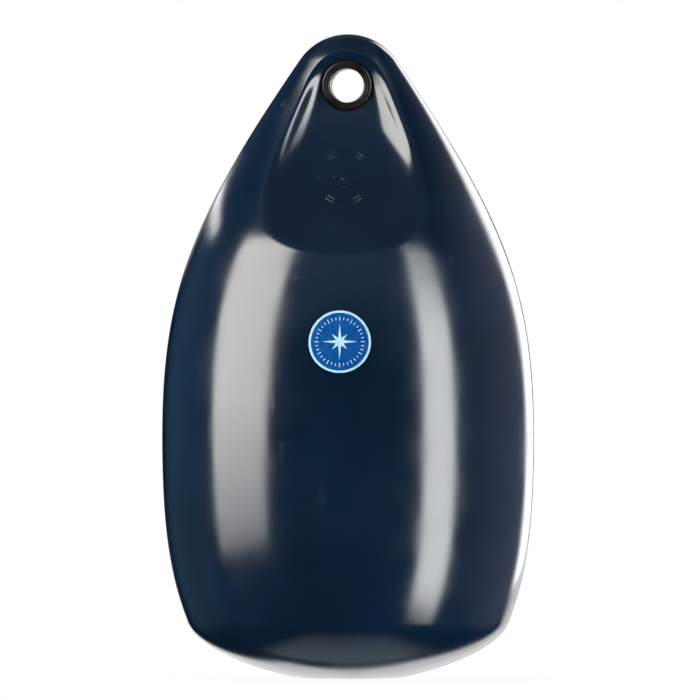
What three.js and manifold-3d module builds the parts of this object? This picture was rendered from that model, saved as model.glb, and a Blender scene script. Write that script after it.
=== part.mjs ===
// A drop-shaped inflatable boat fender with a rope eye through its flattened neck.
// Millimetres. +Z runs up the fender's axis, -Y is its front, and z = 0 is the surface that it stands on.
// The air-filled skin is one sealed moulding, so it is one solid. Its pieces are the skin, the bush
// in the rope eye, a stuck-on label, and the air valve in the base: insert, sealing ring and screw.

import * as THREE from "three";
import { mergeVertices } from "three/addons/utils/BufferGeometryUtils.js";
import Module from "manifold-3d";

const wasm = await Module();
wasm.setup();

// Outline of the skin, seen from the front
const fenderHeight = 400;
const bellyRadius = 115.5;
const bellyHeight = 150;
const bellyUpperHandle = 90;
const bellyLowerHandle = 64;
const crownRadius = 36;
const shoulderAngle = THREE.MathUtils.degToRad(34.5);
const shoulderHandle = 120;
const heelInset = 16;
const heelHeight = 34.5;
const heelAngle = THREE.MathUtils.degToRad(21);
const heelUpperHandle = 26;
const heelLowerHandle = 21.5;
const footRadius = 25;
const footHandle = 14;

// Neck, pinched flatter from front to back towards the crown
const neckDepthShare = 0.62;
const neckPinchHeight = 112;
const neckPinchDrop = 25;

// Scoop pressed into the front and the back of the neck, like a spoon's bowl
const webThickness = 26;
const scoopLength = 102;
const scoopSweepPower = 1.7;
const scoopCrownRadius = 20.5;
const scoopCrownEase = 17;
const scoopFlankAngle = THREE.MathUtils.degToRad(17);
const scoopWallSlope = 1.5;
const scoopWallPower = 4.5;
const ridgeBlend = 6;

// Rope eye and its bush
const eyeDrop = 32;
const eyeBoreRadius = 10.5;
const bushWall = 2.1;
const bushFlangeRadius = 15.8;
const bushFlangeThickness = 3;
const bushLipRadius = 1.6;
const bushRimRadius = 1.9;

// Label, stuck on the front of the belly
const labelRadius = 19.3;
const labelThickness = 0.4;
const labelRise = 59;

// Air valve, set back in the base
const valveRecessRadius = 12;
const valveRecessDepth = 6.5;
const insertFlangeThickness = 1.6;
const insertBarrelRadius = 8;
const insertBarrelLength = 14;
const screwShankRadius = 3.8;
const screwShankLength = 11;
const screwHeadRadius = 6.6;
const screwHeadThickness = 2;
const screwSlotWidth = 1.6;
const screwSlotDepth = 1;
const sealSectionRadius = 0.6;

// Gap between pieces that touch on the real fender
const fitGap = 0.3;

// How finely curves are divided
const skinSegments = 64;
const roundSegments = 40;
const smallSegments = 32;
const arcSteps = 2;
const baseRings = 7;
const heelRings = 6;
const bellyRings = 9;
const neckRings = 25;
const crownRings = 6;
const outlineSteps = 200;

const eyeHeight = fenderHeight - eyeDrop;
const scoopFootHeight = eyeHeight - scoopLength;
const web = webThickness / 2;

// The curves of the skin's outline, as (radius, height), from the base to the crown.
function outlineCurves() {
  const crownCentre = fenderHeight - crownRadius;
  const foot = new THREE.Vector2(footRadius, 0);
  const heel = new THREE.Vector2(bellyRadius - heelInset, heelHeight);
  const heelRun = new THREE.Vector2(Math.sin(heelAngle), Math.cos(heelAngle));
  const belly = new THREE.Vector2(bellyRadius, bellyHeight);
  const shoulderRun = new THREE.Vector2(Math.sin(shoulderAngle), -Math.cos(shoulderAngle));
  const shoulder = new THREE.Vector2(
    crownRadius * Math.cos(shoulderAngle),
    crownCentre + crownRadius * Math.sin(shoulderAngle),
  );
  return {
    base: new THREE.CubicBezierCurve(
      foot,
      foot.clone().add(new THREE.Vector2(footHandle, 0)),
      heel.clone().addScaledVector(heelRun, -heelLowerHandle),
      heel,
    ),
    heel: new THREE.CubicBezierCurve(
      heel,
      heel.clone().addScaledVector(heelRun, heelUpperHandle),
      belly.clone().add(new THREE.Vector2(0, -bellyLowerHandle)),
      belly,
    ),
    side: new THREE.CubicBezierCurve(
      belly,
      belly.clone().add(new THREE.Vector2(0, bellyUpperHandle)),
      shoulder.clone().addScaledVector(shoulderRun, shoulderHandle),
      shoulder,
    ),
    crown: new THREE.EllipseCurve(
      0, crownCentre, crownRadius, crownRadius, shoulderAngle, Math.PI / 2,
    ),
  };
}

const curves = outlineCurves();
const upperOutline = [
  ...curves.side.getPoints(outlineSteps),
  ...curves.crown.getPoints(outlineSteps).slice(1),
];

// The skin's round radius at a height between the belly and the crown.
function radiusAt(z) {
  const next = upperOutline.findIndex((point) => point.y >= z);
  const above = upperOutline[next < 0 ? upperOutline.length - 1 : Math.max(next, 1)];
  const below = upperOutline[next < 0 ? upperOutline.length - 2 : Math.max(next, 1) - 1];
  return Math.max(0, THREE.MathUtils.mapLinear(z, below.y, above.y, below.x, above.x));
}

// Evenly spaced rings from one height up to another, without the lowest.
function ringsBetween(low, high, count) {
  return Array.from({ length: count }, (_, i) => {
    const z = THREE.MathUtils.lerp(low, high, (i + 1) / count);
    return new THREE.Vector2(radiusAt(z), z);
  });
}

// The outline that is turned, with its rings closest together where the scoop shapes the neck.
function skinProfile() {
  const scoopStart = scoopFootHeight - ridgeBlend;
  const shoulderHeight = curves.side.getPoint(1).y;
  return [
    new THREE.Vector2(0, 0),
    ...curves.base.getSpacedPoints(baseRings),
    ...curves.heel.getSpacedPoints(heelRings).slice(1),
    ...ringsBetween(bellyHeight, scoopStart, bellyRings),
    ...ringsBetween(scoopStart, shoulderHeight, neckRings),
    ...curves.crown.getPoints(crownRings).slice(1, -1),
    new THREE.Vector2(0, fenderHeight),
  ];
}

// The share of its round depth that the neck keeps at a height.
function depthShare(z) {
  const pinched = fenderHeight - neckPinchDrop;
  const pinch = THREE.MathUtils.smoothstep(z, pinched - neckPinchHeight, pinched);
  return THREE.MathUtils.lerp(1, neckDepthShare, pinch);
}

// The scoop's distance from the middle plane. Its floor is level round the eye and sweeps out to
// the belly below it. Its walls, steepest beside the eye, rise to a ridge that circles the eye and
// runs down both flanks.
function scoopDepth(x, z) {
  const drop = eyeHeight - z;
  const easedDrop = (drop + Math.hypot(drop, scoopCrownEase)) / 2;
  const halfWidth = scoopCrownRadius + Math.tan(scoopFlankAngle) * easedDrop;
  const reach = Math.hypot(x, Math.max(0, -drop)) / halfWidth;
  const wallHeight = (scoopWallSlope * scoopCrownRadius ** 2) / (halfWidth * scoopWallPower);
  const footDepth = radiusAt(scoopFootHeight) * depthShare(scoopFootHeight);
  const sweep = (footDepth - web) * Math.max(0, drop / scoopLength) ** scoopSweepPower;
  return web + sweep + wallHeight * reach ** scoopWallPower;
}

// The smaller of two depths, with the edge between them rounded.
function blendedMin(a, b) {
  const overlap = Math.max(0, 1 - Math.abs(a - b) / ridgeBlend);
  return Math.min(a, b) - (overlap ** 2 * ridgeBlend) / 4;
}

function toSolid(geometry) {
  const bare = geometry.clone();
  bare.deleteAttribute("normal");
  bare.deleteAttribute("uv");
  const merged = mergeVertices(bare, 1e-4);
  return new wasm.Manifold(new wasm.Mesh({
    numProp: 3,
    vertProperties: merged.attributes.position.array,
    triVerts: new Uint32Array(merged.index.array),
  }));
}

function toGeometry(solid) {
  const { vertProperties, triVerts } = solid.getMesh();
  const geometry = new THREE.BufferGeometry();
  geometry.setAttribute("position", new THREE.BufferAttribute(vertProperties, 3));
  geometry.setIndex(new THREE.BufferAttribute(triVerts, 1));
  geometry.computeVertexNormals();
  return geometry;
}

// A cylinder on the fender's axis, between two heights.
function uprightCylinder(radius, low, high) {
  const cylinder = new THREE.CylinderGeometry(radius, radius, high - low, smallSegments);
  return cylinder.rotateX(Math.PI / 2).translate(0, 0, (low + high) / 2);
}

// A cylinder on the eye's axis, between two distances along Y.
function eyeCylinder(radius, near, far) {
  const cylinder = new THREE.CylinderGeometry(radius, radius, far - near, roundSegments);
  return cylinder.translate(0, (near + far) / 2, eyeHeight);
}

// The moulded skin: a turned drop, scooped at the neck, with holes for the bush and the valve.
function skinGeometry() {
  const drop = new THREE.LatheGeometry(skinProfile(), skinSegments).rotateX(Math.PI / 2);
  const place = drop.attributes.position;
  for (let i = 0; i < place.count; i += 1) {
    const [x, y, z] = [place.getX(i), place.getY(i), place.getZ(i)];
    const depth = blendedMin(Math.abs(y) * depthShare(z), scoopDepth(x, z));
    place.setY(i, Math.sign(y) * Math.max(0, depth));
  }
  const barrelHoleRadius = insertBarrelRadius + fitGap;
  const barrelHoleTop = valveRecessDepth + insertBarrelLength + fitGap;
  return toGeometry(
    toSolid(drop)
      .subtract(toSolid(eyeCylinder(eyeBoreRadius + bushWall + fitGap, -bellyRadius, bellyRadius)))
      .subtract(toSolid(eyeCylinder(bushFlangeRadius + fitGap, web, bellyRadius)))
      .subtract(toSolid(eyeCylinder(bushFlangeRadius + fitGap, -bellyRadius, -web)))
      .subtract(toSolid(uprightCylinder(valveRecessRadius, -valveRecessDepth, valveRecessDepth)))
      .subtract(toSolid(uprightCylinder(barrelHoleRadius, 0, barrelHoleTop))),
  );
}

// The bush: a tube through the web with a round-edged flange on each side.
function bushGeometry() {
  const seat = web + fitGap;
  const face = seat + bushFlangeThickness;
  const tubeRadius = eyeBoreRadius + bushWall;
  const profile = new THREE.Path();
  profile.moveTo(eyeBoreRadius, bushLipRadius - face);
  profile.absarc(
    eyeBoreRadius + bushLipRadius, bushLipRadius - face, bushLipRadius, Math.PI, 1.5 * Math.PI,
  );
  profile.absarc(
    bushFlangeRadius - bushRimRadius, bushRimRadius - face, bushRimRadius, -Math.PI / 2, 0,
  );
  profile.lineTo(bushFlangeRadius, -seat);
  profile.lineTo(tubeRadius, -seat);
  profile.lineTo(tubeRadius, seat);
  profile.lineTo(bushFlangeRadius, seat);
  profile.absarc(
    bushFlangeRadius - bushRimRadius, face - bushRimRadius, bushRimRadius, 0, Math.PI / 2,
  );
  profile.absarc(
    eyeBoreRadius + bushLipRadius, face - bushLipRadius, bushLipRadius, Math.PI / 2, Math.PI,
  );
  profile.closePath();
  return new THREE.LatheGeometry(profile.getPoints(arcSteps), roundSegments);
}

// The label: a thin disc, wrapped round the belly just clear of the skin.
function labelGeometry() {
  const rings = 4;
  const profile = [];
  for (let i = 0; i <= rings; i += 1) {
    profile.push(new THREE.Vector2((labelRadius * i) / rings, 0));
  }
  for (let i = rings; i >= 0; i -= 1) {
    profile.push(new THREE.Vector2((labelRadius * i) / rings, labelThickness));
  }
  const disc = new THREE.LatheGeometry(profile, roundSegments);
  const centreHeight = bellyHeight + labelRise;
  const centreRadius = radiusAt(centreHeight);
  const place = disc.attributes.position;
  for (let i = 0; i < place.count; i += 1) {
    const z = centreHeight - place.getZ(i);
    const azimuth = place.getX(i) / centreRadius;
    const radius = radiusAt(z) + fitGap + place.getY(i);
    place.setXYZ(i, radius * Math.sin(azimuth), -radius * Math.cos(azimuth), z);
  }
  return disc;
}

// Heights of the valve's pieces, which hang in the recess one below the other
const flangeTop = valveRecessDepth - fitGap;
const flangeBottom = flangeTop - insertFlangeThickness;
const sealTop = flangeBottom - fitGap;
const headTop = sealTop - 2 * sealSectionRadius - fitGap;
const headBottom = headTop - screwHeadThickness;

// The valve insert: a barrel welded into the base, with a flange in the recess and a bore for the screw.
function insertGeometry() {
  const boreRadius = screwShankRadius + fitGap;
  const flangeRadius = valveRecessRadius - fitGap;
  const barrelTop = valveRecessDepth + insertBarrelLength;
  const profile = [
    new THREE.Vector2(boreRadius, flangeBottom),
    new THREE.Vector2(flangeRadius, flangeBottom),
    new THREE.Vector2(flangeRadius, flangeTop),
    new THREE.Vector2(insertBarrelRadius, flangeTop),
    new THREE.Vector2(insertBarrelRadius, barrelTop),
    new THREE.Vector2(boreRadius, barrelTop),
    new THREE.Vector2(boreRadius, flangeBottom),
  ];
  return new THREE.LatheGeometry(profile, smallSegments).rotateX(Math.PI / 2);
}

// The sealing ring between the screw's head and the insert.
function sealGeometry() {
  const ringRadius = screwShankRadius + fitGap + sealSectionRadius;
  const ring = new THREE.TorusGeometry(ringRadius, sealSectionRadius, 8, smallSegments);
  return ring.translate(0, 0, sealTop - sealSectionRadius);
}

// The valve screw: a round head with a coin slot, on a plain shank.
function screwGeometry() {
  const shankTop = headTop + screwShankLength;
  const slot = new THREE.BoxGeometry(3 * screwHeadRadius, screwSlotWidth, 2 * screwSlotDepth);
  const head = toSolid(uprightCylinder(screwHeadRadius, headBottom, headTop));
  const shank = toSolid(uprightCylinder(screwShankRadius, headBottom + screwSlotDepth, shankTop));
  return toGeometry(head.add(shank).subtract(toSolid(slot.translate(0, 0, headBottom))));
}

const skinMaterial = new THREE.MeshStandardMaterial({ color: 0x16294a, roughness: 0.18, metalness: 0 });
const bushMaterial = new THREE.MeshStandardMaterial({ color: 0x1f1f1a, roughness: 0.4, metalness: 0 });
const labelMaterial = new THREE.MeshStandardMaterial({ color: 0x054f97, roughness: 0.35, metalness: 0 });
const valveMaterial = new THREE.MeshStandardMaterial({ color: 0x17181a, roughness: 0.5, metalness: 0 });
const screwMaterial = new THREE.MeshStandardMaterial({ color: 0xd9dad6, roughness: 0.45, metalness: 0 });
const sealMaterial = new THREE.MeshStandardMaterial({ color: 0x0d0d0d, roughness: 0.6, metalness: 0 });

function addPiece(group, name, geometry, material) {
  const piece = new THREE.Mesh(geometry, material);
  piece.name = name;
  group.add(piece);
  return piece;
}

const fender = new THREE.Group();
fender.name = "boat_fender";
addPiece(fender, "fender_skin", skinGeometry(), skinMaterial);
addPiece(fender, "eye_bush", bushGeometry(), bushMaterial).position.set(0, 0, eyeHeight);
addPiece(fender, "label", labelGeometry(), labelMaterial);
addPiece(fender, "valve_insert", insertGeometry(), valveMaterial);
addPiece(fender, "valve_sealing_ring", sealGeometry(), sealMaterial);
addPiece(fender, "valve_screw", screwGeometry(), screwMaterial);

export default fender;
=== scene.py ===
"""A drop-shaped inflatable boat fender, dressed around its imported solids.

Metres, +Z up the fender's axis, -Y its front. The skin, the bush in the rope eye, the label and the
air valve in the base are modelled again at a finer grain than the solids, in the same places.
"""

import logging
import math
from bisect import bisect_left
from dataclasses import dataclass
from enum import Enum
from functools import cached_property
from typing import Iterable

import bmesh
import bpy
from bmesh.types import BMEdge, BMesh, BMVert
from bpy.types import Material, Node, NodeSocket, Object, World
from mathutils import Matrix, Vector
from mathutils.geometry import interpolate_bezier


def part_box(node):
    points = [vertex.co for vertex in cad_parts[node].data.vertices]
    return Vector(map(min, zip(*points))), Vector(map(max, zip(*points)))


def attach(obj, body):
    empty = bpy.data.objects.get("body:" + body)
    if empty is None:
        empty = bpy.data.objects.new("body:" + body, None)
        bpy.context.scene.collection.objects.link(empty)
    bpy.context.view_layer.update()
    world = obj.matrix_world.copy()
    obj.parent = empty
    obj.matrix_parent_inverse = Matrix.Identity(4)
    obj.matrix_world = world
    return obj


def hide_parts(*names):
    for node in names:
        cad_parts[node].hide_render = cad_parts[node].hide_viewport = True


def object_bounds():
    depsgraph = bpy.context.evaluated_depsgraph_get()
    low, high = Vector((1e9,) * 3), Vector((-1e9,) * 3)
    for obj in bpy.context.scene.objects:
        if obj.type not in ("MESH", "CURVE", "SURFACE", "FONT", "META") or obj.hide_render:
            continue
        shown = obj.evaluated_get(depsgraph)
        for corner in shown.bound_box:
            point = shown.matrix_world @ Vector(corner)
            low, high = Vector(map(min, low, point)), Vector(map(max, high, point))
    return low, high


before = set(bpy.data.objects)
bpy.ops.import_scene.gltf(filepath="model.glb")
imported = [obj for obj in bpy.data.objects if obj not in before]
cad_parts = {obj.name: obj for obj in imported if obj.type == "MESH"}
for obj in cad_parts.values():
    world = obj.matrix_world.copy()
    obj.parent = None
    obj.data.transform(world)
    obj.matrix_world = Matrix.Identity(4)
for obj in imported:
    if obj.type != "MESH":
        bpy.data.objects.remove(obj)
CAD_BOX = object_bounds()
LOG = logging.getLogger("fender")

MM = 0.001
BODY = "root"
WELD = 1e-7

Color = tuple[float, float, float]
Pair = tuple[float, float]
Fill = float | Vector | Color | NodeSocket
Inputs = dict[str | int, Fill]
Geometry = BMVert | BMEdge

UNIT: Pair = (0.0, 1.0)
WHITE: Color = (1.0, 1.0, 1.0)
PLASTIC_IOR = 1.5
PLAIN_REFLECTANCE = 0.5
CAMERA_AZIMUTH = 2.6


class Turn(Enum):
    """The axis that a turned profile is spun about."""

    UPRIGHT = (0.0, 0.0, 1.0)
    THROUGH_EYE = (0.0, 1.0, 0.0)


def flat(across: float, along: float) -> Vector:
    """Return a point in the plane of the first two axes."""
    return Vector((across, along, 0.0))


def drawn(*points: Pair) -> list[Vector]:
    """Return a profile from (radius, distance along the axis) pairs."""
    return [flat(*point) for point in points]


def mirrored(profile: Iterable[Vector]) -> list[Vector]:
    """Return a profile with its distances along the axis turned round."""
    return [flat(point.x, -point.y) for point in profile]


def smoothstep(value: float, low: float, high: float) -> float:
    """Return 0 below low, 1 above high and a smooth rise between them.

    Args:
        value: The place to read the rise at.
        low: Where the rise starts.
        high: Where the rise ends.

    Returns:
        A number from 0 to 1.
    """
    share = min(1.0, max(0.0, (value - low) / (high - low)))
    return share * share * (3.0 - 2.0 * share)


def bezier(start: Vector, out: Vector, back: Vector, end: Vector, count: int) -> list[Vector]:
    """Return count + 1 points along one cubic curve.

    Args:
        start: The first point.
        out: The handle that leaves the first point.
        back: The handle that enters the last point.
        end: The last point.
        count: The number of steps.

    Returns:
        The points, with both ends.
    """
    return [Vector(p) for p in interpolate_bezier(start, out, back, end, count + 1)]


def arc(centre: Vector, radius: float, start_deg: float, end_deg: float, count: int) -> list[Vector]:
    """Return count + 1 points round an arc in the plane of the first two axes.

    Args:
        centre: The arc's centre.
        radius: The arc's radius.
        start_deg: The angle of the first point, in degrees.
        end_deg: The angle of the last point, in degrees.
        count: The number of steps.

    Returns:
        The points, with both ends.
    """
    angles = [math.radians(start_deg + (end_deg - start_deg) * i / count) for i in range(count + 1)]
    return [centre + radius * flat(math.cos(a), math.sin(a)) for a in angles]


def direction(azimuth: float, elevation: float) -> Vector:
    """Return the unit vector from the fender towards a place in the studio.

    Args:
        azimuth: Degrees to the right of the camera, 180 straight behind the fender.
        elevation: Degrees above the horizon.

    Returns:
        The direction in the row's frame.
    """
    around, up = math.radians(azimuth + CAMERA_AZIMUTH), math.radians(elevation)
    return Vector((math.sin(around) * math.cos(up), -math.cos(around) * math.cos(up), math.sin(up)))


@dataclass(frozen=True)
class FenderForm:
    """The fender's outer form: a turned drop, flattened and scooped at its neck."""

    height: float = CAD_BOX[1].z
    belly_radius: float = CAD_BOX[1].x
    belly_height: float = 150 * MM
    belly_upper_handle: float = 90 * MM
    belly_lower_handle: float = 64 * MM
    crown_radius: float = 36 * MM
    shoulder_deg: float = 34.5
    shoulder_handle: float = 120 * MM
    heel_inset: float = 16 * MM
    heel_height: float = 34.5 * MM
    heel_deg: float = 21.0
    heel_upper_handle: float = 26 * MM
    heel_lower_handle: float = 21.5 * MM
    foot_radius: float = 25 * MM
    foot_handle: float = 14 * MM
    neck_depth_share: float = 0.62
    neck_pinch_height: float = 112 * MM
    neck_pinch_drop: float = 25 * MM
    web_thickness: float = 26 * MM
    scoop_length: float = 102 * MM
    scoop_sweep_power: float = 1.7
    scoop_crown_radius: float = 20.5 * MM
    scoop_crown_ease: float = 17 * MM
    scoop_flank_deg: float = 17.0
    scoop_wall_slope: float = 1.5
    scoop_wall_power: float = 4.5
    ridge_blend: float = 6 * MM
    base_rings: int = 34
    heel_rings: int = 40
    belly_rings: int = 46
    neck_rings: int = 124
    crown_rings: int = 22
    curve_steps: int = 400

    @cached_property
    def eye_height(self) -> float:
        """Return the height of the rope eye's centre."""
        low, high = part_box("eye_bush")
        return (low.z + high.z) / 2

    @cached_property
    def scoop_foot(self) -> float:
        """Return the height at which the scoop's floor meets the belly."""
        return self.eye_height - self.scoop_length

    @cached_property
    def scoop_foot_depth(self) -> float:
        """Return the depth of the turned form at the scoop's foot."""
        return self.radius_at(self.scoop_foot) * self.depth_share(self.scoop_foot)

    @property
    def belly(self) -> Vector:
        """Return the outline's widest point, as (radius, height)."""
        return flat(self.belly_radius, self.belly_height)

    @cached_property
    def side(self) -> list[Vector]:
        """Return the curve from the belly up to the shoulder, as (radius, height)."""
        slope = math.radians(self.shoulder_deg)
        run = flat(math.sin(slope), -math.cos(slope))
        shoulder = flat(
            self.crown_radius * math.cos(slope),
            self.height - self.crown_radius + self.crown_radius * math.sin(slope),
        )
        return bezier(
            self.belly,
            self.belly + flat(0.0, self.belly_upper_handle),
            shoulder + run * self.shoulder_handle,
            shoulder,
            self.curve_steps,
        )

    def crown(self, count: int) -> list[Vector]:
        """Return the arc from the shoulder over the crown to the axis."""
        centre = flat(0.0, self.height - self.crown_radius)
        return arc(centre, self.crown_radius, self.shoulder_deg, 90.0, count)

    @cached_property
    def upper(self) -> list[Vector]:
        """Return the whole outline above the belly, as (radius, height)."""
        return self.side + self.crown(self.curve_steps)[1:]

    def radius_at(self, z: float) -> float:
        """Return the round radius at a height between the belly and the crown."""
        index = bisect_left(self.upper, z, key=lambda point: point.y)
        index = min(max(index, 1), len(self.upper) - 1)
        below, above = self.upper[index - 1], self.upper[index]
        share = (z - below.y) / (above.y - below.y)
        return max(0.0, below.x + (above.x - below.x) * share)

    def rings_between(self, low: float, high: float, count: int) -> list[Vector]:
        """Return evenly spaced rings from low to high, without the lowest.

        Args:
            low: The height to start from.
            high: The height of the last ring.
            count: The number of rings.

        Returns:
            One (radius, height) point for each ring.
        """
        heights = [low + (high - low) * (i + 1) / count for i in range(count)]
        return [flat(self.radius_at(z), z) for z in heights]

    def profile(self) -> list[Vector]:
        """Return the outline that is turned, closest together at the neck."""
        heel_slope = math.radians(self.heel_deg)
        heel_run = flat(math.sin(heel_slope), math.cos(heel_slope))
        foot = flat(self.foot_radius, 0.0)
        heel = flat(self.belly_radius - self.heel_inset, self.heel_height)
        base = bezier(
            foot,
            foot + flat(self.foot_handle, 0.0),
            heel - heel_run * self.heel_lower_handle,
            heel,
            self.base_rings,
        )
        lower = bezier(
            heel,
            heel + heel_run * self.heel_upper_handle,
            self.belly - flat(0.0, self.belly_lower_handle),
            self.belly,
            self.heel_rings,
        )
        scoop_start = self.scoop_foot - self.ridge_blend
        return [
            flat(0.0, 0.0),
            *base,
            *lower[1:],
            *self.rings_between(self.belly_height, scoop_start, self.belly_rings),
            *self.rings_between(scoop_start, self.side[-1].y, self.neck_rings),
            *self.crown(self.crown_rings)[1:-1],
            flat(0.0, self.height),
        ]

    def depth_share(self, z: float) -> float:
        """Return the share of its round depth that the neck keeps at a height."""
        pinched = self.height - self.neck_pinch_drop
        pinch = smoothstep(z, pinched - self.neck_pinch_height, pinched)
        return 1.0 + (self.neck_depth_share - 1.0) * pinch

    def scoop_depth(self, x: float, z: float) -> float:
        """Return the scoop's distance from the middle plane.

        Args:
            x: The distance from the axis, across the front.
            z: The height.

        Returns:
            The depth of the floor or wall of the scoop there.
        """
        web = self.web_thickness / 2
        drop = self.eye_height - z
        eased_drop = (drop + math.hypot(drop, self.scoop_crown_ease)) / 2
        half_width = self.scoop_crown_radius + math.tan(math.radians(self.scoop_flank_deg)) * eased_drop
        reach = math.hypot(x, max(0.0, -drop)) / half_width
        steepness = self.scoop_wall_slope * self.scoop_crown_radius**2 / half_width
        wall = steepness / self.scoop_wall_power * reach**self.scoop_wall_power
        rise = max(0.0, drop / self.scoop_length) ** self.scoop_sweep_power
        return web + (self.scoop_foot_depth - web) * rise + wall

    def front_depth(self, x: float, z: float, round_depth: float | None = None) -> float:
        """Return the skin's distance from the middle plane.

        Args:
            x: The distance from the axis, across the front.
            z: The height.
            round_depth: The depth of the turned form there, where it is already known.

        Returns:
            The smaller of the turned form and the scoop, with the edge between them rounded.
        """
        if round_depth is None:
            round_depth = math.sqrt(max(0.0, self.radius_at(z) ** 2 - x**2))
        turned = round_depth * self.depth_share(z)
        scooped = self.scoop_depth(x, z)
        overlap = max(0.0, 1.0 - abs(turned - scooped) / self.ridge_blend)
        return min(turned, scooped) - overlap**2 * self.ridge_blend / 4


def add_chain(bm: BMesh, points: Iterable[Vector]) -> list[Geometry]:
    """Add a chain of points and edges to a mesh, and return them."""
    verts = [bm.verts.new(point) for point in points]
    return [*verts, *(bm.edges.new(pair) for pair in zip(verts, verts[1:]))]


def verts_among(geometry: Iterable[Geometry]) -> list[BMVert]:
    """Return the points among mixed parts of a mesh."""
    return [item for item in geometry if isinstance(item, BMVert)]


def capped(bm: BMesh) -> BMesh:
    """Close every open end."""
    bmesh.ops.holes_fill(bm, edges=[edge for edge in bm.edges if edge.is_boundary], sides=0)
    return bm


def facing_out(bm: BMesh) -> BMesh:
    """Turn every face outwards."""
    bmesh.ops.recalc_face_normals(bm, faces=bm.faces[:])
    return bm


def spun(profile: list[Vector], turn: Turn, centre: Vector, steps: int) -> BMesh:
    """Spin a profile into a closed turned piece.

    Args:
        profile: Points as (radius, distance along the axis).
        turn: The axis to spin about.
        centre: A point on that axis, at distance 0.
        steps: How many steps go round.

    Returns:
        The turned mesh, welded, with its faces outwards.
    """
    axis = Vector(turn.value)
    bm = bmesh.new()
    chain = add_chain(bm, (centre + flat(p.x, 0.0) + axis * p.y for p in profile))
    bmesh.ops.spin(
        bm, geom=chain, cent=centre, axis=axis, dvec=(0, 0, 0),
        angle=2 * math.pi, steps=steps, use_merge=True, use_duplicate=False,
    )
    bmesh.ops.remove_doubles(bm, verts=bm.verts[:], dist=WELD)
    return facing_out(bm)


def star_shape(reaches: tuple[float, ...], cuts: int, rise: float = 0.0) -> BMesh:
    """Draw a flat star in X and Z, the same in each quarter.

    Args:
        reaches: How far the corners of one quarter reach, from an axis on.
        cuts: How often each edge is cut.
        rise: How far its middle is raised towards -Y.

    Returns:
        The star's one layer of faces.
    """
    bm = bmesh.new()
    upright = Matrix.Rotation(math.pi / 2, 4, "X")
    corners = 4 * len(reaches)
    bmesh.ops.create_circle(bm, segments=corners, radius=1.0, cap_ends=True, cap_tris=True, matrix=upright)
    for vert in bm.verts:
        if vert.co.length < 0.5:
            vert.co.y = -rise
            continue
        step = round(math.atan2(vert.co.z, vert.co.x) / (2 * math.pi / corners))
        vert.co = vert.co.normalized() * reaches[step % len(reaches)]
    bmesh.ops.subdivide_edges(bm, edges=bm.edges[:], cuts=cuts, use_grid_fill=True)
    return bm


def stored(bm: BMesh, name: str, material: Material) -> Object:
    """Store a mesh as a smooth-shaded object at the origin.

    Args:
        bm: The finished mesh, which is freed.
        name: The object's name.
        material: The material that all of it wears.

    Returns:
        The new object.
    """
    data = bpy.data.meshes.new(name)
    bm.to_mesh(data)
    bm.free()
    data.materials.append(material)
    data.shade_smooth()
    piece = bpy.data.objects.new(name, data)
    bpy.context.scene.collection.objects.link(piece)
    return piece


def take_away(piece: Object, cutter: Object) -> None:
    """Take a cutter's solid away from a piece, and delete the cutter."""
    modifier = piece.modifiers.new("cut", "BOOLEAN")
    modifier.object = cutter
    modifier.operation = "DIFFERENCE"
    modifier.solver = "EXACT"
    depsgraph = bpy.context.evaluated_depsgraph_get()
    result = bpy.data.meshes.new_from_object(piece.evaluated_get(depsgraph))
    piece.modifiers.clear()
    before = piece.data
    piece.data = result
    result.name = piece.name
    bpy.data.meshes.remove(before)
    bpy.data.objects.remove(cutter)


def crease(piece: Object, angle_deg: float) -> None:
    """Keep the edges sharp that are steeper than an angle."""
    piece.data.set_sharp_from_angle(angle=math.radians(angle_deg))


def settle(piece: Object, slot: str, *nodes: str) -> None:
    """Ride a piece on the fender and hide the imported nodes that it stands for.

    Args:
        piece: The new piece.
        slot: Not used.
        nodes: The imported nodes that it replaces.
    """
    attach(piece, BODY)
    if nodes:
        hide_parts(*nodes)
    LOG.info("%s: %d faces", piece.name, len(piece.data.polygons))


class Graph:
    """The nodes of one material or world."""

    def __init__(self, owner: Material | World) -> None:
        """Switch the owner's nodes on."""
        owner.use_nodes = True
        self.tree = owner.node_tree

    def fill(self, node: Node, inputs: Inputs) -> None:
        """Give sockets of a node a number or a colour, or link them to the socket that feeds them."""
        for name, value in inputs.items():
            if isinstance(value, NodeSocket):
                self.tree.links.new(value, node.inputs[name])
            else:
                node.inputs[name].default_value = (*value, 1.0) if isinstance(value, tuple) else value

    def node(self, kind: str, inputs: Inputs | None = None, **settings: str) -> Node:
        """Add a node.

        Args:
            kind: Its type, without the leading ShaderNode.
            inputs: What its sockets hold.
            settings: Its own properties.

        Returns:
            The new node.
        """
        node = self.tree.nodes.new(f"ShaderNode{kind}")
        for name, value in settings.items():
            setattr(node, name, value)
        self.fill(node, inputs or {})
        return node

    def math(self, operation: str, first: Fill, second: Fill) -> NodeSocket:
        """Return the result of one operation on two values."""
        return self.node("Math", {0: first, 1: second}, operation=operation).outputs["Value"]

    def ramp(self, source: NodeSocket, limits: Pair, result: tuple[Fill, Fill] = UNIT) -> NodeSocket:
        """Map a range of values to a range of results, smoothly.

        Args:
            source: The value.
            limits: The lowest and highest value that is read.
            result: What those two become.

        Returns:
            The mapped value, clamped at its ends.
        """
        sockets = ("From Min", "From Max", "To Min", "To Max")
        inputs = {"Value": source, **dict(zip(sockets, (*limits, *result)))}
        return self.node("MapRange", inputs, interpolation_type="SMOOTHSTEP").outputs["Result"]

    def mix(self, factor: NodeSocket, first: NodeSocket, second: NodeSocket) -> NodeSocket:
        """Return a shader between two, by a factor from 0 to 1."""
        return self.node("MixShader", {"Fac": factor, 1: first, 2: second}).outputs["Shader"]


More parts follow.
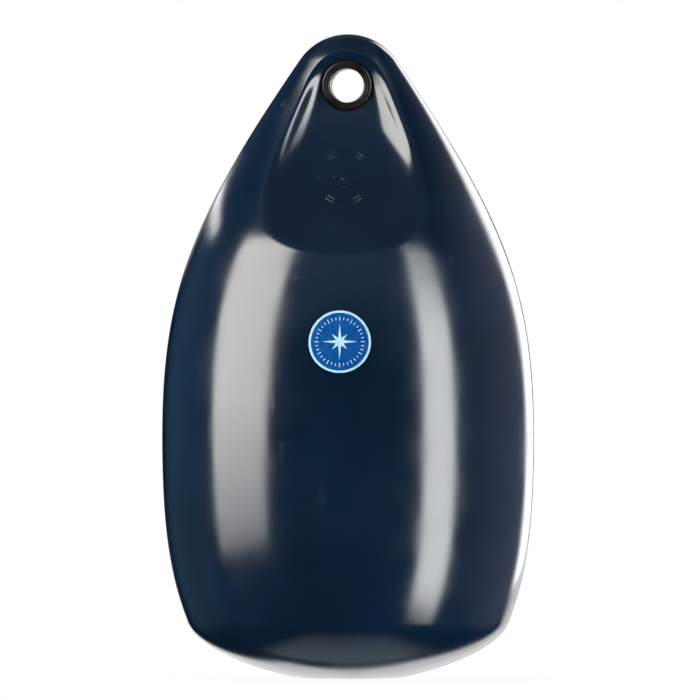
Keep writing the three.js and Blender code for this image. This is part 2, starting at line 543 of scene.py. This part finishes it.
@dataclass(frozen=True)
class Noise:
    """A noise pattern: lumps for each metre, finer layers, the range that is read, the scale by axis."""

    scale: float
    detail: float
    limits: Pair = UNIT
    stretch: tuple[float, float, float] = (1.0, 1.0, 1.0)


class Shader(Graph):
    """One node material round a Principled shader, on Object coordinates."""

    def __init__(self, name: str) -> None:
        """Start a material of that name."""
        self.material = bpy.data.materials.new(name)
        super().__init__(self.material)
        self.principled = self.tree.nodes["Principled BSDF"]
        self.coords = self.node("TexCoord").outputs["Object"]

    def noise(self, noise: Noise) -> NodeSocket:
        """Return a noise pattern on the piece."""
        mapping = self.node("Mapping", {"Scale": Vector(noise.stretch), "Vector": self.coords})
        inputs = {"Scale": noise.scale, "Detail": noise.detail, "Vector": mapping.outputs["Vector"]}
        return self.node("TexNoise", inputs).outputs["Fac"]

    def patches(self, noise: Noise, result: Pair = UNIT) -> NodeSocket:
        """Return a noise pattern with its range mapped to a range of results."""
        return self.ramp(self.noise(noise), noise.limits, result)

    def layer(self, factor: NodeSocket, under: Color | NodeSocket, over: Color) -> NodeSocket:
        """Lay one colour over another.

        Args:
            factor: Where the upper colour shows.
            under: The lower colour, or the socket that gives it.
            over: The upper colour.

        Returns:
            The mixed colour.
        """
        return self.node("Mix", {"Factor": factor, 6: under, 7: over}, data_type="RGBA").outputs[2]

    def bump(self, layers: list[tuple[Noise, float]]) -> None:
        """Raise the surface by several patterns, each with its height in metres."""
        normal: Inputs = {}
        for noise, height in layers:
            node = self.node("Bump", {"Distance": height, "Height": self.noise(noise), **normal})
            normal = {"Normal": node.outputs["Normal"]}
        self.fill(self.principled, normal)


@dataclass(frozen=True)
class VinylFinish:
    """Glossy moulded vinyl: deep and slightly mottled, with an uneven skin and handling marks."""

    name: str = "navy vinyl"
    deep: Color = (0.0019, 0.0098, 0.0240)
    light: Color = (0.0029, 0.0136, 0.0360)
    haze: Color = (0.0200, 0.0300, 0.0450)
    mottle: Noise = Noise(14.0, 3.0, (0.35, 0.65))
    scuffs: Noise = Noise(90.0, 6.0, (0.62, 0.78), (1.0, 1.0, 0.35))
    scuff_haze: float = 0.25
    scuff_roughness: float = 0.10
    specks: Noise = Noise(1300.0, 1.0, (0.78, 0.82))
    speck_haze: float = 0.6
    sheen: Noise = Noise(38.0, 4.0, (0.3, 0.7))
    roughness: Pair = (0.135, 0.190)
    reflectance: float = 1.0
    wave: Noise = Noise(17.0, 1.0)
    wave_height: float = 0.30 * MM
    peel: Noise = Noise(420.0, 2.0)
    peel_height: float = 0.005 * MM

    def material(self) -> Material:
        """Return the vinyl's material."""
        shader = Shader(self.name)
        scuff = shader.patches(self.scuffs)
        specks = shader.patches(self.specks, (0.0, self.speck_haze))
        hazed = shader.math("ADD", specks, shader.ramp(scuff, UNIT, (0.0, self.scuff_haze)))
        tone = shader.layer(shader.patches(self.mottle), self.deep, self.light)
        sheen = shader.patches(self.sheen, self.roughness)
        worn = shader.ramp(scuff, UNIT, (0.0, self.scuff_roughness))
        shader.fill(shader.principled, {
            "Base Color": shader.layer(hazed, tone, self.haze),
            "Roughness": shader.math("ADD", sheen, worn),
            "IOR": PLASTIC_IOR,
            "Specular IOR Level": self.reflectance,
        })
        shader.bump([(self.wave, self.wave_height), (self.peel, self.peel_height)])
        return shader.material


@dataclass(frozen=True)
class PatchyFinish:
    """A plain surface of two near tones, in patches, with a fine grain."""

    name: str
    tone: Color
    other_tone: Color
    roughness: Pair
    patches: Noise
    grain: Noise
    grain_height: float

    def material(self) -> Material:
        """Return the surface's material."""
        shader = Shader(self.name)
        patch = shader.patches(self.patches)
        shader.fill(shader.principled, {
            "Base Color": shader.layer(patch, self.tone, self.other_tone),
            "Roughness": shader.ramp(patch, UNIT, self.roughness),
            "IOR": PLASTIC_IOR,
            "Specular IOR Level": PLAIN_REFLECTANCE,
        })
        shader.bump([(self.grain, self.grain_height)])
        return shader.material


def moulded(
    name: str, tone: Color, worn: Color, roughness: Pair, grain_scale: float, grain_height: float,
) -> PatchyFinish:
    """Describe plain moulded rubber or plastic, with worn patches eight times as wide as its grain."""
    patches, grain = Noise(grain_scale / 8, 4.0, (0.35, 0.7)), Noise(grain_scale, 3.0)
    return PatchyFinish(name, tone, worn, roughness, patches, grain, grain_height)


def printed(name: str, ink: Color, thin: Color) -> PatchyFinish:
    """Describe ink on a gloss film, a little uneven where the press laid it."""
    patches, grain = Noise(260.0, 4.0, (0.3, 0.7)), Noise(900.0, 2.0)
    return PatchyFinish(name, ink, thin, (0.22, 0.30), patches, grain, 0.004 * MM)


@dataclass
class FenderSkin:
    """The moulded skin and its parting line."""

    form: FenderForm
    finish: VinylFinish
    spin_steps: int = 320
    bush_hole_radius: float = 12.9 * MM
    bush_seat_radius: float = 16.1 * MM
    bush_seat_lift: float = 0.04 * MM
    valve_recess_radius: float = 12 * MM
    valve_recess_depth: float = 6.5 * MM
    valve_barrel_radius: float = 8.3 * MM
    valve_barrel_top: float = 20.8 * MM
    cutter_steps: int = 128
    crease_deg: float = 50.0
    seam_radius: float = 0.9 * MM
    seam_sink: float = 0.72 * MM
    seam_segments: int = 10

    @cached_property
    def dress(self) -> Material:
        """Return the skin's one material."""
        return self.finish.material()

    def cut(self, skin: Object, profile: list[Vector], turn: Turn, centre: Vector) -> None:
        """Cut a turned hole into the skin, by its profile, its axis and a point on that axis."""
        bm = spun(profile, turn, centre, self.cutter_steps)
        take_away(skin, stored(bm, "cutter", self.dress))

    def shell(self) -> Object:
        """Build the turned and scooped skin, with the bush's hole and seats and the valve's hole."""
        form = self.form
        bm = spun(form.profile(), Turn.UPRIGHT, Vector(), self.spin_steps)
        for vert in bm.verts:
            if vert.co.z > form.belly_height:
                depth = form.front_depth(vert.co.x, vert.co.z, abs(vert.co.y))
                vert.co.y = math.copysign(max(0.0, depth), vert.co.y)
        skin = stored(bm, "moulded_skin", self.dress)
        through, seat = form.belly_radius, form.web_thickness / 2 + self.bush_seat_lift
        half = drawn(
            (0.0, through), (self.bush_seat_radius, through),
            (self.bush_seat_radius, seat), (self.bush_hole_radius, seat),
        )
        self.cut(skin, half + mirrored(reversed(half)), Turn.THROUGH_EYE, Vector((0.0, 0.0, form.eye_height)))
        for radius, low, high in (
            (self.valve_recess_radius, -self.valve_recess_depth, self.valve_recess_depth),
            (self.valve_barrel_radius, 0.0, self.valve_barrel_top),
        ):
            profile = drawn((0.0, low), (radius, low), (radius, high), (0.0, high))
            self.cut(skin, profile, Turn.UPRIGHT, Vector())
        crease(skin, self.crease_deg)
        return skin

    def seam(self) -> Object:
        """Build the fine parting line that runs up one side, over the crown and down the other."""
        half = [point for point in self.form.profile()[2:] if point.x > 0]
        path = [*half, flat(0.0, self.form.height), *(flat(-p.x, p.y) for p in reversed(half))]
        bm = bmesh.new()
        rings = []
        for before, here, after in zip(path, path[1:], path[2:]):
            tangent = (after - before).normalized()
            outward = flat(tangent.y, -tangent.x)
            centre = here - outward * self.seam_sink
            place = Matrix((
                (outward.x, 0.0, tangent.x), (0.0, 1.0, 0.0), (outward.y, 0.0, tangent.y),
            )).to_4x4()
            place.translation = (centre.x, 0.0, centre.y)
            ring = bmesh.ops.create_circle(
                bm, segments=self.seam_segments, radius=self.seam_radius, matrix=place,
            )
            rings.append(ring["verts"])
        for pair in zip(rings, rings[1:]):
            loops = [
                edge for ring in pair for edge in {e for vert in ring for e in vert.link_edges}
                if set(edge.verts) <= set(ring)
            ]
            bmesh.ops.bridge_loops(bm, edges=loops)
        return stored(facing_out(capped(bm)), "parting_line", self.dress)

    def build(self) -> None:
        """Build, dress and settle the skin's pieces."""
        settle(self.shell(), "navy_vinyl", "fender_skin")
        settle(self.seam(), "navy_vinyl")


@dataclass
class MouldedOrnament:
    """The faint relief on the scoop's floor: pairs of arcs above and below a four-point star."""

    form: FenderForm
    dress: Material
    drop: float = 57 * MM
    arc_radii: tuple[float, ...] = (17.0 * MM, 14.8 * MM)
    arc_span_deg: float = 84.0
    arc_steps: int = 48
    line_width: float = 0.8 * MM
    rise: float = 0.30 * MM
    sink: float = 0.30 * MM
    section_steps: int = 6
    star_reach: float = 7.5 * MM
    star_waist: float = 2.0 * MM
    star_rise: float = 0.55 * MM
    star_cuts: int = 4
    dot_radius: float = 0.9 * MM
    dot_place: float = 15.5 * MM

    def line(self, radius: float, middle_deg: float) -> BMesh:
        """Return one rounded line along an arc, flat in X and Z, with its rise along -Y.

        Args:
            radius: The arc's radius.
            middle_deg: The angle of the arc's middle, 90 straight up.

        Returns:
            The flat line.
        """
        half = self.line_width / 2
        crest = [
            flat(radius + half * math.cos(a), -self.rise * math.sin(a))
            for a in (math.pi * i / self.section_steps for i in range(self.section_steps + 1))
        ]
        bm = bmesh.new()
        chain = add_chain(bm, [*crest, *drawn((radius - half, self.sink), (radius + half, self.sink))])
        verts = verts_among(chain)
        chain.append(bm.edges.new((verts[-1], verts[0])))
        start = Matrix.Rotation(-math.radians(middle_deg - self.arc_span_deg / 2), 4, "Y")
        bmesh.ops.transform(bm, matrix=start, verts=verts)
        bmesh.ops.spin(
            bm, geom=chain, cent=(0, 0, 0), axis=(0, -1, 0), dvec=(0, 0, 0),
            angle=math.radians(self.arc_span_deg), steps=self.arc_steps, use_merge=False, use_duplicate=False,
        )
        return capped(bm)

    def star(self) -> BMesh:
        """Return the flat star, its middle raised towards -Y."""
        bm = star_shape((self.star_reach, self.star_waist), self.star_cuts, self.star_rise)
        rim = [edge for edge in bm.edges if edge.is_boundary]
        wall = bmesh.ops.extrude_edge_only(bm, edges=rim)["geom"]
        bmesh.ops.translate(bm, verts=verts_among(wall), vec=(0.0, self.sink, 0.0))
        return capped(bm)

    def dot(self, x: float) -> BMesh:
        """Return one small dome beside the star."""
        bm = bmesh.new()
        squash = Matrix.Diagonal((1.0, self.rise / self.dot_radius, 1.0, 1.0))
        place = Matrix.Translation((x, 0.0, 0.0)) @ squash
        bmesh.ops.create_icosphere(bm, subdivisions=3, radius=self.dot_radius, matrix=place)
        return bm

    def laid(self, bm: BMesh) -> BMesh:
        """Lay a flat drawing on the scoop's floor."""
        height = self.form.eye_height - self.drop
        for vert in bm.verts:
            z = height + vert.co.z
            vert.co = (vert.co.x, vert.co.y - self.form.front_depth(vert.co.x, z), z)
        return facing_out(bm)

    def build(self) -> None:
        """Build, dress and settle the ornament's pieces."""
        drawings = {
            f"moulded_arc_{side}_{index}": self.line(radius, middle)
            for side, middle in (("upper", 90.0), ("lower", 270.0))
            for index, radius in enumerate(self.arc_radii, 1)
        }
        drawings["moulded_star"] = self.star()
        drawings["moulded_dot_left"] = self.dot(-self.dot_place)
        drawings["moulded_dot_right"] = self.dot(self.dot_place)
        for name, drawing in drawings.items():
            settle(stored(self.laid(drawing), name, self.dress), "navy_vinyl")


@dataclass
class EyeBush:
    """The black bush: a tube through the web, with a flange and a rolled lip on each side."""

    finish: PatchyFinish
    lip_radius: float = 1.6 * MM
    lip_end_deg: float = 75.0
    rim_radius: float = 1.9 * MM
    bore_radius: float = 10.5 * MM
    wall: float = 2.1 * MM
    flange_thickness: float = 3 * MM
    groove: float = 0.45 * MM
    groove_reach: float = 2.1
    groove_shoulder: float = 0.25
    spin_steps: int = 160
    arc_steps: int = 8
    crease_deg: float = 48.0

    def half_profile(self, outer: float, face: float) -> list[Vector]:
        """Return the profile of one side, from the bore round to the tube.

        Args:
            outer: The flange's radius.
            face: The distance of the flange's face from the middle plane.

        Returns:
            Points as (radius, distance along the eye's axis).
        """
        land = self.bore_radius + self.lip_radius
        seat = face - self.flange_thickness
        lip = flat(land, face - self.lip_radius)
        rim = flat(outer - self.rim_radius, face - self.rim_radius)
        return [
            *arc(lip, self.lip_radius, 180.0, self.lip_end_deg, self.arc_steps),
            flat(land + self.groove, face - self.groove),
            flat(land + self.groove_reach * self.groove, face - self.groove_shoulder * self.groove),
            *arc(rim, self.rim_radius, 90.0, 0.0, self.arc_steps),
            flat(outer, seat),
            flat(self.bore_radius + self.wall, seat),
        ]

    def build(self) -> None:
        """Build, dress and settle the bush."""
        low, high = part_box("eye_bush")
        half = self.half_profile((high.x - low.x) / 2, high.y)
        centre = Vector((0.0, 0.0, (low.z + high.z) / 2))
        profile = [*half, *mirrored(reversed(half)), half[0]]
        bm = spun(profile, Turn.THROUGH_EYE, centre, self.spin_steps)
        bush = stored(bm, "eye_bush_moulding", self.finish.material())
        crease(bush, self.crease_deg)
        settle(bush, "black_bush", "eye_bush")


@dataclass
class Label:
    """The round label: a blue film with a pale rim, a ring of ticks and an eight-point star."""

    form: FenderForm
    film: PatchyFinish
    ink: PatchyFinish
    lift: float = 0.3 * MM
    thickness: float = 0.4 * MM
    edge: float = 0.15 * MM
    ink_thickness: float = 0.05 * MM
    ink_edge: float = 0.01 * MM
    rim_width: float = 1.55 * MM
    rim_margin: float = 0.2 * MM
    tick_count: int = 36
    tick_radius: float = 14.2 * MM
    tick_length: float = 1.6 * MM
    long_tick_every: int = 3
    long_tick_ratio: float = 1.6
    tick_width: float = 0.5 * MM
    star_reach: float = 10.8 * MM
    star_minor: float = 6.6 * MM
    star_waist: float = 2.5 * MM
    star_cuts: int = 5
    disc_rings: int = 12
    edge_steps: int = 4
    spin_steps: int = 96
    crease_deg: float = 50.0

    @cached_property
    def radius(self) -> float:
        """Return the label's radius."""
        low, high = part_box("label")
        return (high.z - low.z) / 2

    @cached_property
    def centre_height(self) -> float:
        """Return the height of the label's centre."""
        low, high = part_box("label")
        return (high.z + low.z) / 2

    def wrap(self, bm: BMesh, base: float) -> BMesh:
        """Bend a flat mesh, drawn in X and Z with its thickness along -Y, round the belly.

        Args:
            bm: The flat mesh, centred on the origin.
            base: How far its underside stands off the skin.

        Returns:
            The same mesh, in its place.
        """
        bend = self.form.radius_at(self.centre_height)
        for vert in bm.verts:
            z = self.centre_height + vert.co.z
            azimuth = vert.co.x / bend
            radius = self.form.radius_at(z) + base - vert.co.y
            vert.co = (radius * math.sin(azimuth), -radius * math.cos(azimuth), z)
        return bm

    def disc(self, inner: float, outer: float, thickness: float, edge: float) -> BMesh:
        """Return a flat disc or ring with a rounded outer edge.

        Args:
            inner: The inner radius, 0 for a whole disc.
            outer: The outer radius.
            thickness: The film's thickness.
            edge: The radius of the rounding.

        Returns:
            The flat mesh.
        """
        rings = self.disc_rings
        top = [flat(inner + (outer - edge - inner) * i / rings, thickness) for i in range(rings)]
        rounding = arc(flat(outer - edge, thickness - edge), edge, 90.0, 0.0, self.edge_steps)
        under = [flat(outer + (inner - outer) * i / rings, 0.0) for i in range(rings + 1)]
        closing = [top[0]] if inner > 0 else []
        profile = mirrored([*top, *rounding, *under, *closing])
        return spun(profile, Turn.THROUGH_EYE, Vector(), self.spin_steps)

    def star(self) -> BMesh:
        """Return the eight-point star, in the ink's thickness."""
        reaches = (self.star_reach, self.star_waist, self.star_minor, self.star_waist)
        bm = star_shape(reaches, self.star_cuts)
        extruded = bmesh.ops.extrude_face_region(bm, geom=bm.faces[:])["geom"]
        bmesh.ops.translate(bm, verts=verts_among(extruded), vec=(0.0, -self.ink_thickness, 0.0))
        return facing_out(bm)

    def ticks(self) -> BMesh:
        """Return the ring of ticks, some of them longer."""
        bm = bmesh.new()
        for index in range(self.tick_count):
            length = self.tick_length * (1.0 if index % self.long_tick_every else self.long_tick_ratio)
            place = (
                Matrix.Rotation(2 * math.pi * index / self.tick_count, 4, "Y")
                @ Matrix.Translation((0.0, -self.ink_thickness / 2, self.tick_radius))
                @ Matrix.Diagonal((self.tick_width, self.ink_thickness, length, 1.0))
            )
            bmesh.ops.create_cube(bm, size=1.0, matrix=place)
        return bm

    def build(self) -> None:
        """Build, dress and settle the label."""
        film, ink = self.film.material(), self.ink.material()
        disc = self.disc(0.0, self.radius, self.thickness, self.edge)
        inner, outer = self.radius - self.rim_width, self.radius - self.rim_margin
        rim = self.disc(inner, outer, self.ink_thickness, self.ink_edge)
        top = self.lift + self.thickness
        made = (
            ("label_film", disc, self.lift, film, ("label",)),
            ("label_rim", rim, top, ink, ()),
            ("label_star", self.star(), top, ink, ()),
            ("label_ticks", self.ticks(), top, ink, ()),
        )
        for name, drawing, base, material, nodes in made:
            piece = stored(self.wrap(drawing, base), name, material)
            crease(piece, self.crease_deg)
            settle(piece, "label_film", *nodes)


@dataclass
class AirValve:
    """The valve in the base: an insert, a sealing ring and a screw with a coin slot."""

    insert_finish: PatchyFinish
    seal_finish: PatchyFinish
    screw_finish: PatchyFinish
    bore_radius: float = 4.1 * MM
    barrel_radius: float = 8 * MM
    flange_thickness: float = 1.6 * MM
    shank_radius: float = 3.8 * MM
    head_thickness: float = 2 * MM
    slot_width: float = 1.6 * MM
    slot_depth: float = 1 * MM
    edge: float = 0.3 * MM
    seal_steps: int = 20
    spin_steps: int = 96
    crease_deg: float = 30.0

    def turning(self, profile: list[Vector], name: str, finish: PatchyFinish) -> Object:
        """Turn one of the valve's pieces about the fender's axis."""
        bm = spun(profile, Turn.UPRIGHT, Vector(), self.spin_steps)
        return stored(bm, name, finish.material())

    def insert(self) -> Object:
        """Build the insert."""
        low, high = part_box("valve_insert")
        profile = drawn(
            (self.bore_radius + self.edge, low.z), (high.x - self.edge, low.z),
            (high.x, low.z + self.edge), (high.x, low.z + self.flange_thickness),
            (self.barrel_radius, low.z + self.flange_thickness), (self.barrel_radius, high.z),
            (self.bore_radius, high.z), (self.bore_radius, low.z + self.edge),
            (self.bore_radius + self.edge, low.z),
        )
        return self.turning(profile, "valve_insert_moulding", self.insert_finish)

    def seal(self) -> Object:
        """Build the sealing ring."""
        low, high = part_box("valve_sealing_ring")
        section = (high.z - low.z) / 2
        profile = arc(flat(high.x - section, (low.z + high.z) / 2), section, 0.0, 360.0, self.seal_steps)
        return self.turning(profile, "valve_seal", self.seal_finish)

    def screw(self) -> Object:
        """Build the screw and cut its slot."""
        low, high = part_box("valve_screw")
        head_top = low.z + self.head_thickness
        profile = drawn(
            (0.0, low.z), (high.x - self.edge, low.z),
            (high.x, low.z + self.edge), (high.x, head_top),
            (self.shank_radius, head_top), (self.shank_radius, high.z - self.edge),
            (self.shank_radius - self.edge, high.z), (0.0, high.z),
        )
        screw = self.turning(profile, "valve_screw_turning", self.screw_finish)
        slot = bmesh.new()
        bmesh.ops.create_cube(slot, size=1.0, matrix=(
            Matrix.Translation((0.0, 0.0, low.z))
            @ Matrix.Diagonal((4 * high.x, self.slot_width, 2 * self.slot_depth, 1.0))
        ))
        take_away(screw, stored(slot, "cutter", screw.data.materials[0]))
        return screw

    def build(self) -> None:
        """Build, dress and settle the valve's pieces."""
        made = (
            (self.insert(), "valve_plastic", "valve_insert"),
            (self.seal(), "seal_rubber", "valve_sealing_ring"),
            (self.screw(), "screw_plastic", "valve_screw"),
        )
        for piece, slot, node in made:
            crease(piece, self.crease_deg)
            settle(piece, slot, node)


@dataclass(frozen=True)
class Fade:
    """How a panel dims towards one of its edges: over what share of it, and down to what level."""

    width: float
    level: float = 0.0


@dataclass(frozen=True)
class LightPanel:
    """A flat lit panel, given by its corners as the fender sees them.

    The corners are (azimuth, elevation) in degrees: low left, low right, high left, high right.
    The fades are those of its left, right, bottom and top edge.
    """

    name: str
    corners: tuple[Pair, Pair, Pair, Pair]
    strength: float
    fades: tuple[Fade, Fade, Fade, Fade]
    tint: Color = WHITE
    distance: float = 5.0

    def material(self) -> Material:
        """Return the panel's glow, which dims towards its edges and is dark at its back."""
        material = bpy.data.materials.new(self.name)
        graph = Graph(material)
        graph.tree.nodes.clear()
        split = graph.node("SeparateXYZ", {"Vector": graph.node("UVMap").outputs["UV"]})
        behind = graph.node("NewGeometry").outputs["Backfacing"]
        value = graph.math("SUBTRACT", self.strength, graph.math("MULTIPLY", behind, self.strength))
        for (axis, edge), fade in zip((("X", 0.0), ("X", 1.0), ("Y", 0.0), ("Y", 1.0)), self.fades):
            limits = (edge, edge + fade.width * (1.0 - 2.0 * edge))
            value = graph.math("MULTIPLY", value, graph.ramp(split.outputs[axis], limits, (fade.level, 1.0)))
        glow = graph.node("Emission", {"Color": self.tint, "Strength": value})
        graph.node("OutputMaterial", {"Surface": glow.outputs["Emission"]})
        return material

    def build(self, centre: Vector) -> None:
        """Stand the panel in the studio, unseen by the camera, with its corners as seen from the centre."""
        bm = bmesh.new()
        bmesh.ops.create_grid(bm, x_segments=1, y_segments=1, size=0.5, calc_uvs=True)
        layer = bm.loops.layers.uv.verify()
        for vert in bm.verts:
            across, up = int(vert.co.x > 0), int(vert.co.y > 0)
            for loop in vert.link_loops:
                loop[layer].uv = (across, up)
            vert.co = centre + direction(*self.corners[across + 2 * up]) * self.distance
        face = bm.faces[:][0]
        face.normal_update()
        if face.normal.dot(centre - face.calc_center_median()) < 0:
            bmesh.ops.reverse_faces(bm, faces=[face])
        panel = stored(bm, self.name, self.material())
        panel.visible_camera = False
        panel.visible_shadow = False


PANELS = (
    LightPanel(
        "left_panel", ((-91, -14), (-50, -14), (-98, 40), (-40, 52)), 6.2,
        fades=(Fade(0.06), Fade(0.13), Fade(0.34, 0.34), Fade(0.13)), tint=(1.0, 0.99, 0.94),
    ),
    LightPanel(
        "right_panel", ((45, -41), (71, -41), (45, 52), (71, 40)), 7.0,
        fades=(Fade(0.16), Fade(0.18), Fade(0.24), Fade(0.40, 0.12)), tint=(0.97, 1.0, 0.98),
    ),
    LightPanel(
        "rim_panel", ((142, -16), (169, -16), (132, 44), (160, 44)), 3.9,
        fades=(Fade(0.34), Fade(0.08), Fade(0.15), Fade(0.1)), tint=(1.0, 0.98, 1.0),
    ),
    LightPanel(
        "base_panel", ((167, -38), (192, -38), (140, -3), (192, -3)), 1.7,
        fades=(Fade(0.10), Fade(0.16), Fade(0.08), Fade(1.0, 0.65)),
    ),
    LightPanel(
        "under_panel", ((-50, -62), (50, -62), (-157, -41), (157, -41)), 0.36,
        fades=(Fade(0.26), Fade(0.26), Fade(0.60, 0.15), Fade(0.08)), tint=(0.82, 0.96, 1.0),
    ),
    LightPanel(
        "left_shoulder_panel", ((-166, 7.5), (-124, 22.8), (-166, 9.2), (-124, 27.4)), 3.4,
        fades=(Fade(0.25), Fade(0.25), Fade(0.30), Fade(0.30)),
    ),
    LightPanel(
        "left_neck_panel", ((-177, 1.0), (-158, 6.0), (-177, 4.0), (-158, 14.0)), 0.7,
        fades=(Fade(0.1), Fade(0.7), Fade(0.25), Fade(0.25)),
    ),
    LightPanel(
        "left_glow_panel", ((-160, -34), (-97, -34), (-160, 46), (-97, 46)), 0.11, distance=7.0,
        fades=(Fade(0.4), Fade(0.1), Fade(0.3), Fade(0.6)), tint=(0.40, 0.75, 1.0),
    ),
    LightPanel(
        "right_glow_panel", ((76, -34), (142, -34), (76, 52), (142, 52)), 0.24, distance=7.0,
        fades=(Fade(0.6, 0.3), Fade(0.1), Fade(0.3), Fade(0.5)), tint=(0.75, 0.74, 1.0),
    ),
    LightPanel(
        "right_shoulder_panel", ((121, 20.5), (129, 20.5), (121, 24.5), (129, 24.5)), 5.0,
        fades=(Fade(0.2), Fade(0.2), Fade(0.2), Fade(0.2)),
    ),
)


@dataclass
class Studio:
    """The camera, the lit panels, the pale floor and the white surroundings."""

    form: FenderForm
    panels: tuple[LightPanel, ...] = PANELS
    photo_height_px: float = 643.5
    photo_width_px: float = 700.0
    axis_px: float = 348.0
    base_px: float = 678.0
    centre_px: float = 350.0
    distance: float = 8.0
    sensor: float = 36.0
    floor_size: float = 14.0
    floor_drop: float = 0.1 * MM
    floor_color: Color = (0.8, 0.8, 0.8)
    shadow_level: float = 0.03
    shadow_reach: Pair = (0.08, 0.22)
    room_level: float = 0.22
    ceiling_level: float = 0.15
    ceiling_rise: Pair = (0.15, 0.75)
    zenith_share: float = 0.38
    zenith_rise: Pair = (0.66, 0.94)
    room_tint: Color = (0.90, 0.95, 1.0)

    def camera(self) -> None:
        """Stand the camera level with the middle of the picture."""
        pixel = self.form.height / self.photo_height_px
        data = bpy.data.cameras.new("camera")
        data.sensor_width = self.sensor
        data.lens = self.sensor * self.distance / (self.photo_width_px * pixel)
        data.clip_end = 10 * self.distance
        camera = bpy.data.objects.new("camera", data)
        bpy.context.scene.collection.objects.link(camera)
        back = direction(0.0, 0.0)
        right = Vector((0.0, 0.0, 1.0)).cross(back)
        across = (self.centre_px - self.axis_px) * pixel
        height = (self.base_px - self.centre_px) * pixel
        camera.location = back * self.distance + right * across + Vector((0.0, 0.0, height))
        camera.rotation_mode = "QUATERNION"
        camera.rotation_quaternion = (-back).to_track_quat("-Z", "Y")
        bpy.context.scene.camera = camera

    def floor(self) -> None:
        """Lay the pale floor, white to the camera but for the fender's soft shadow, clear from below."""
        bm = bmesh.new()
        place = Matrix.Translation((0.0, 0.0, -self.floor_drop))
        bmesh.ops.create_grid(bm, x_segments=2, y_segments=2, size=self.floor_size / 2, matrix=place)
        shader = Shader("studio floor")
        matte = {"Base Color": self.floor_color, "Roughness": 1.0, "Specular IOR Level": 0.0}
        shader.fill(shader.principled, matte)
        reach = shader.node("VectorMath", {0: shader.coords}, operation="LENGTH").outputs["Value"]
        white = shader.ramp(reach, self.shadow_reach, (1.0 - self.shadow_level, 1.0))
        seen = shader.math("MULTIPLY", shader.node("LightPath").outputs["Is Camera Ray"], white)
        glow = shader.node("Emission").outputs["Emission"]
        top = shader.mix(seen, shader.principled.outputs["BSDF"], glow)
        below = shader.node("NewGeometry").outputs["Backfacing"]
        clear = shader.node("BsdfTransparent").outputs["BSDF"]
        shader.fill(shader.tree.nodes["Material Output"], {"Surface": shader.mix(below, top, clear)})
        floor = stored(bm, "floor", shader.material)
        floor.visible_glossy = False
        floor.visible_shadow = False

    def surroundings(self) -> None:
        """Give the camera a white background, and the fender a dim room with a grey ceiling."""
        world = bpy.data.worlds.new("surroundings")
        bpy.context.scene.world = world
        graph = Graph(world)
        graph.tree.nodes.clear()
        ray = graph.node("LightPath").outputs
        coords = graph.node("TexCoord").outputs["Generated"]
        up = graph.node("SeparateXYZ", {"Vector": coords}).outputs["Z"]
        ceiling = graph.ramp(up, self.ceiling_rise, (0.0, self.ceiling_level))
        zenith = graph.ramp(up, self.zenith_rise, (1.0, self.zenith_share))
        overhead = graph.math("MULTIPLY", ceiling, zenith)
        level = graph.ramp(ray["Is Glossy Ray"], UNIT, (self.room_level, overhead))
        room = graph.node("Background", {"Color": self.room_tint, "Strength": level}).outputs["Background"]
        white = graph.node("Background", {"Color": WHITE}).outputs["Background"]
        graph.node("OutputWorld", {"Surface": graph.mix(ray["Is Camera Ray"], room, white)})

    def build(self) -> None:
        """Set the studio up."""
        bpy.context.scene.view_settings.view_transform = "Standard"
        self.camera()
        for panel in self.panels:
            panel.build(Vector((0.0, 0.0, self.form.height / 2)))
        self.floor()
        self.surroundings()


def main() -> None:
    """Build the fender's pieces in order, then the studio."""
    logging.basicConfig(level=logging.INFO)
    form = FenderForm()
    skin = FenderSkin(form, VinylFinish())
    skin.build()
    MouldedOrnament(form, skin.dress).build()
    EyeBush(moulded(
        "black bush rubber", (0.006, 0.0062, 0.0048), (0.0105, 0.0108, 0.008), (0.26, 0.38),
        700.0, 0.015 * MM,
    )).build()
    Label(
        form,
        printed("label blue", (0.0012, 0.066, 0.275), (0.0025, 0.080, 0.300)),
        printed("label pale ink", (0.42, 0.72, 0.92), (0.50, 0.78, 0.95)),
    ).build()
    AirValve(
        moulded("valve black", (0.01, 0.011, 0.012), (0.018,) * 3, (0.42, 0.58), 900.0, 0.02 * MM),
        moulded("seal rubber", (0.006,) * 3, (0.012,) * 3, (0.5, 0.65), 900.0, 0.01 * MM),
        moulded("screw white", (0.66, 0.67, 0.64), (0.58, 0.58, 0.54), (0.38, 0.5), 900.0, 0.02 * MM),
    ).build()
    Studio(form).build()


if __name__ == "__main__":
    main()
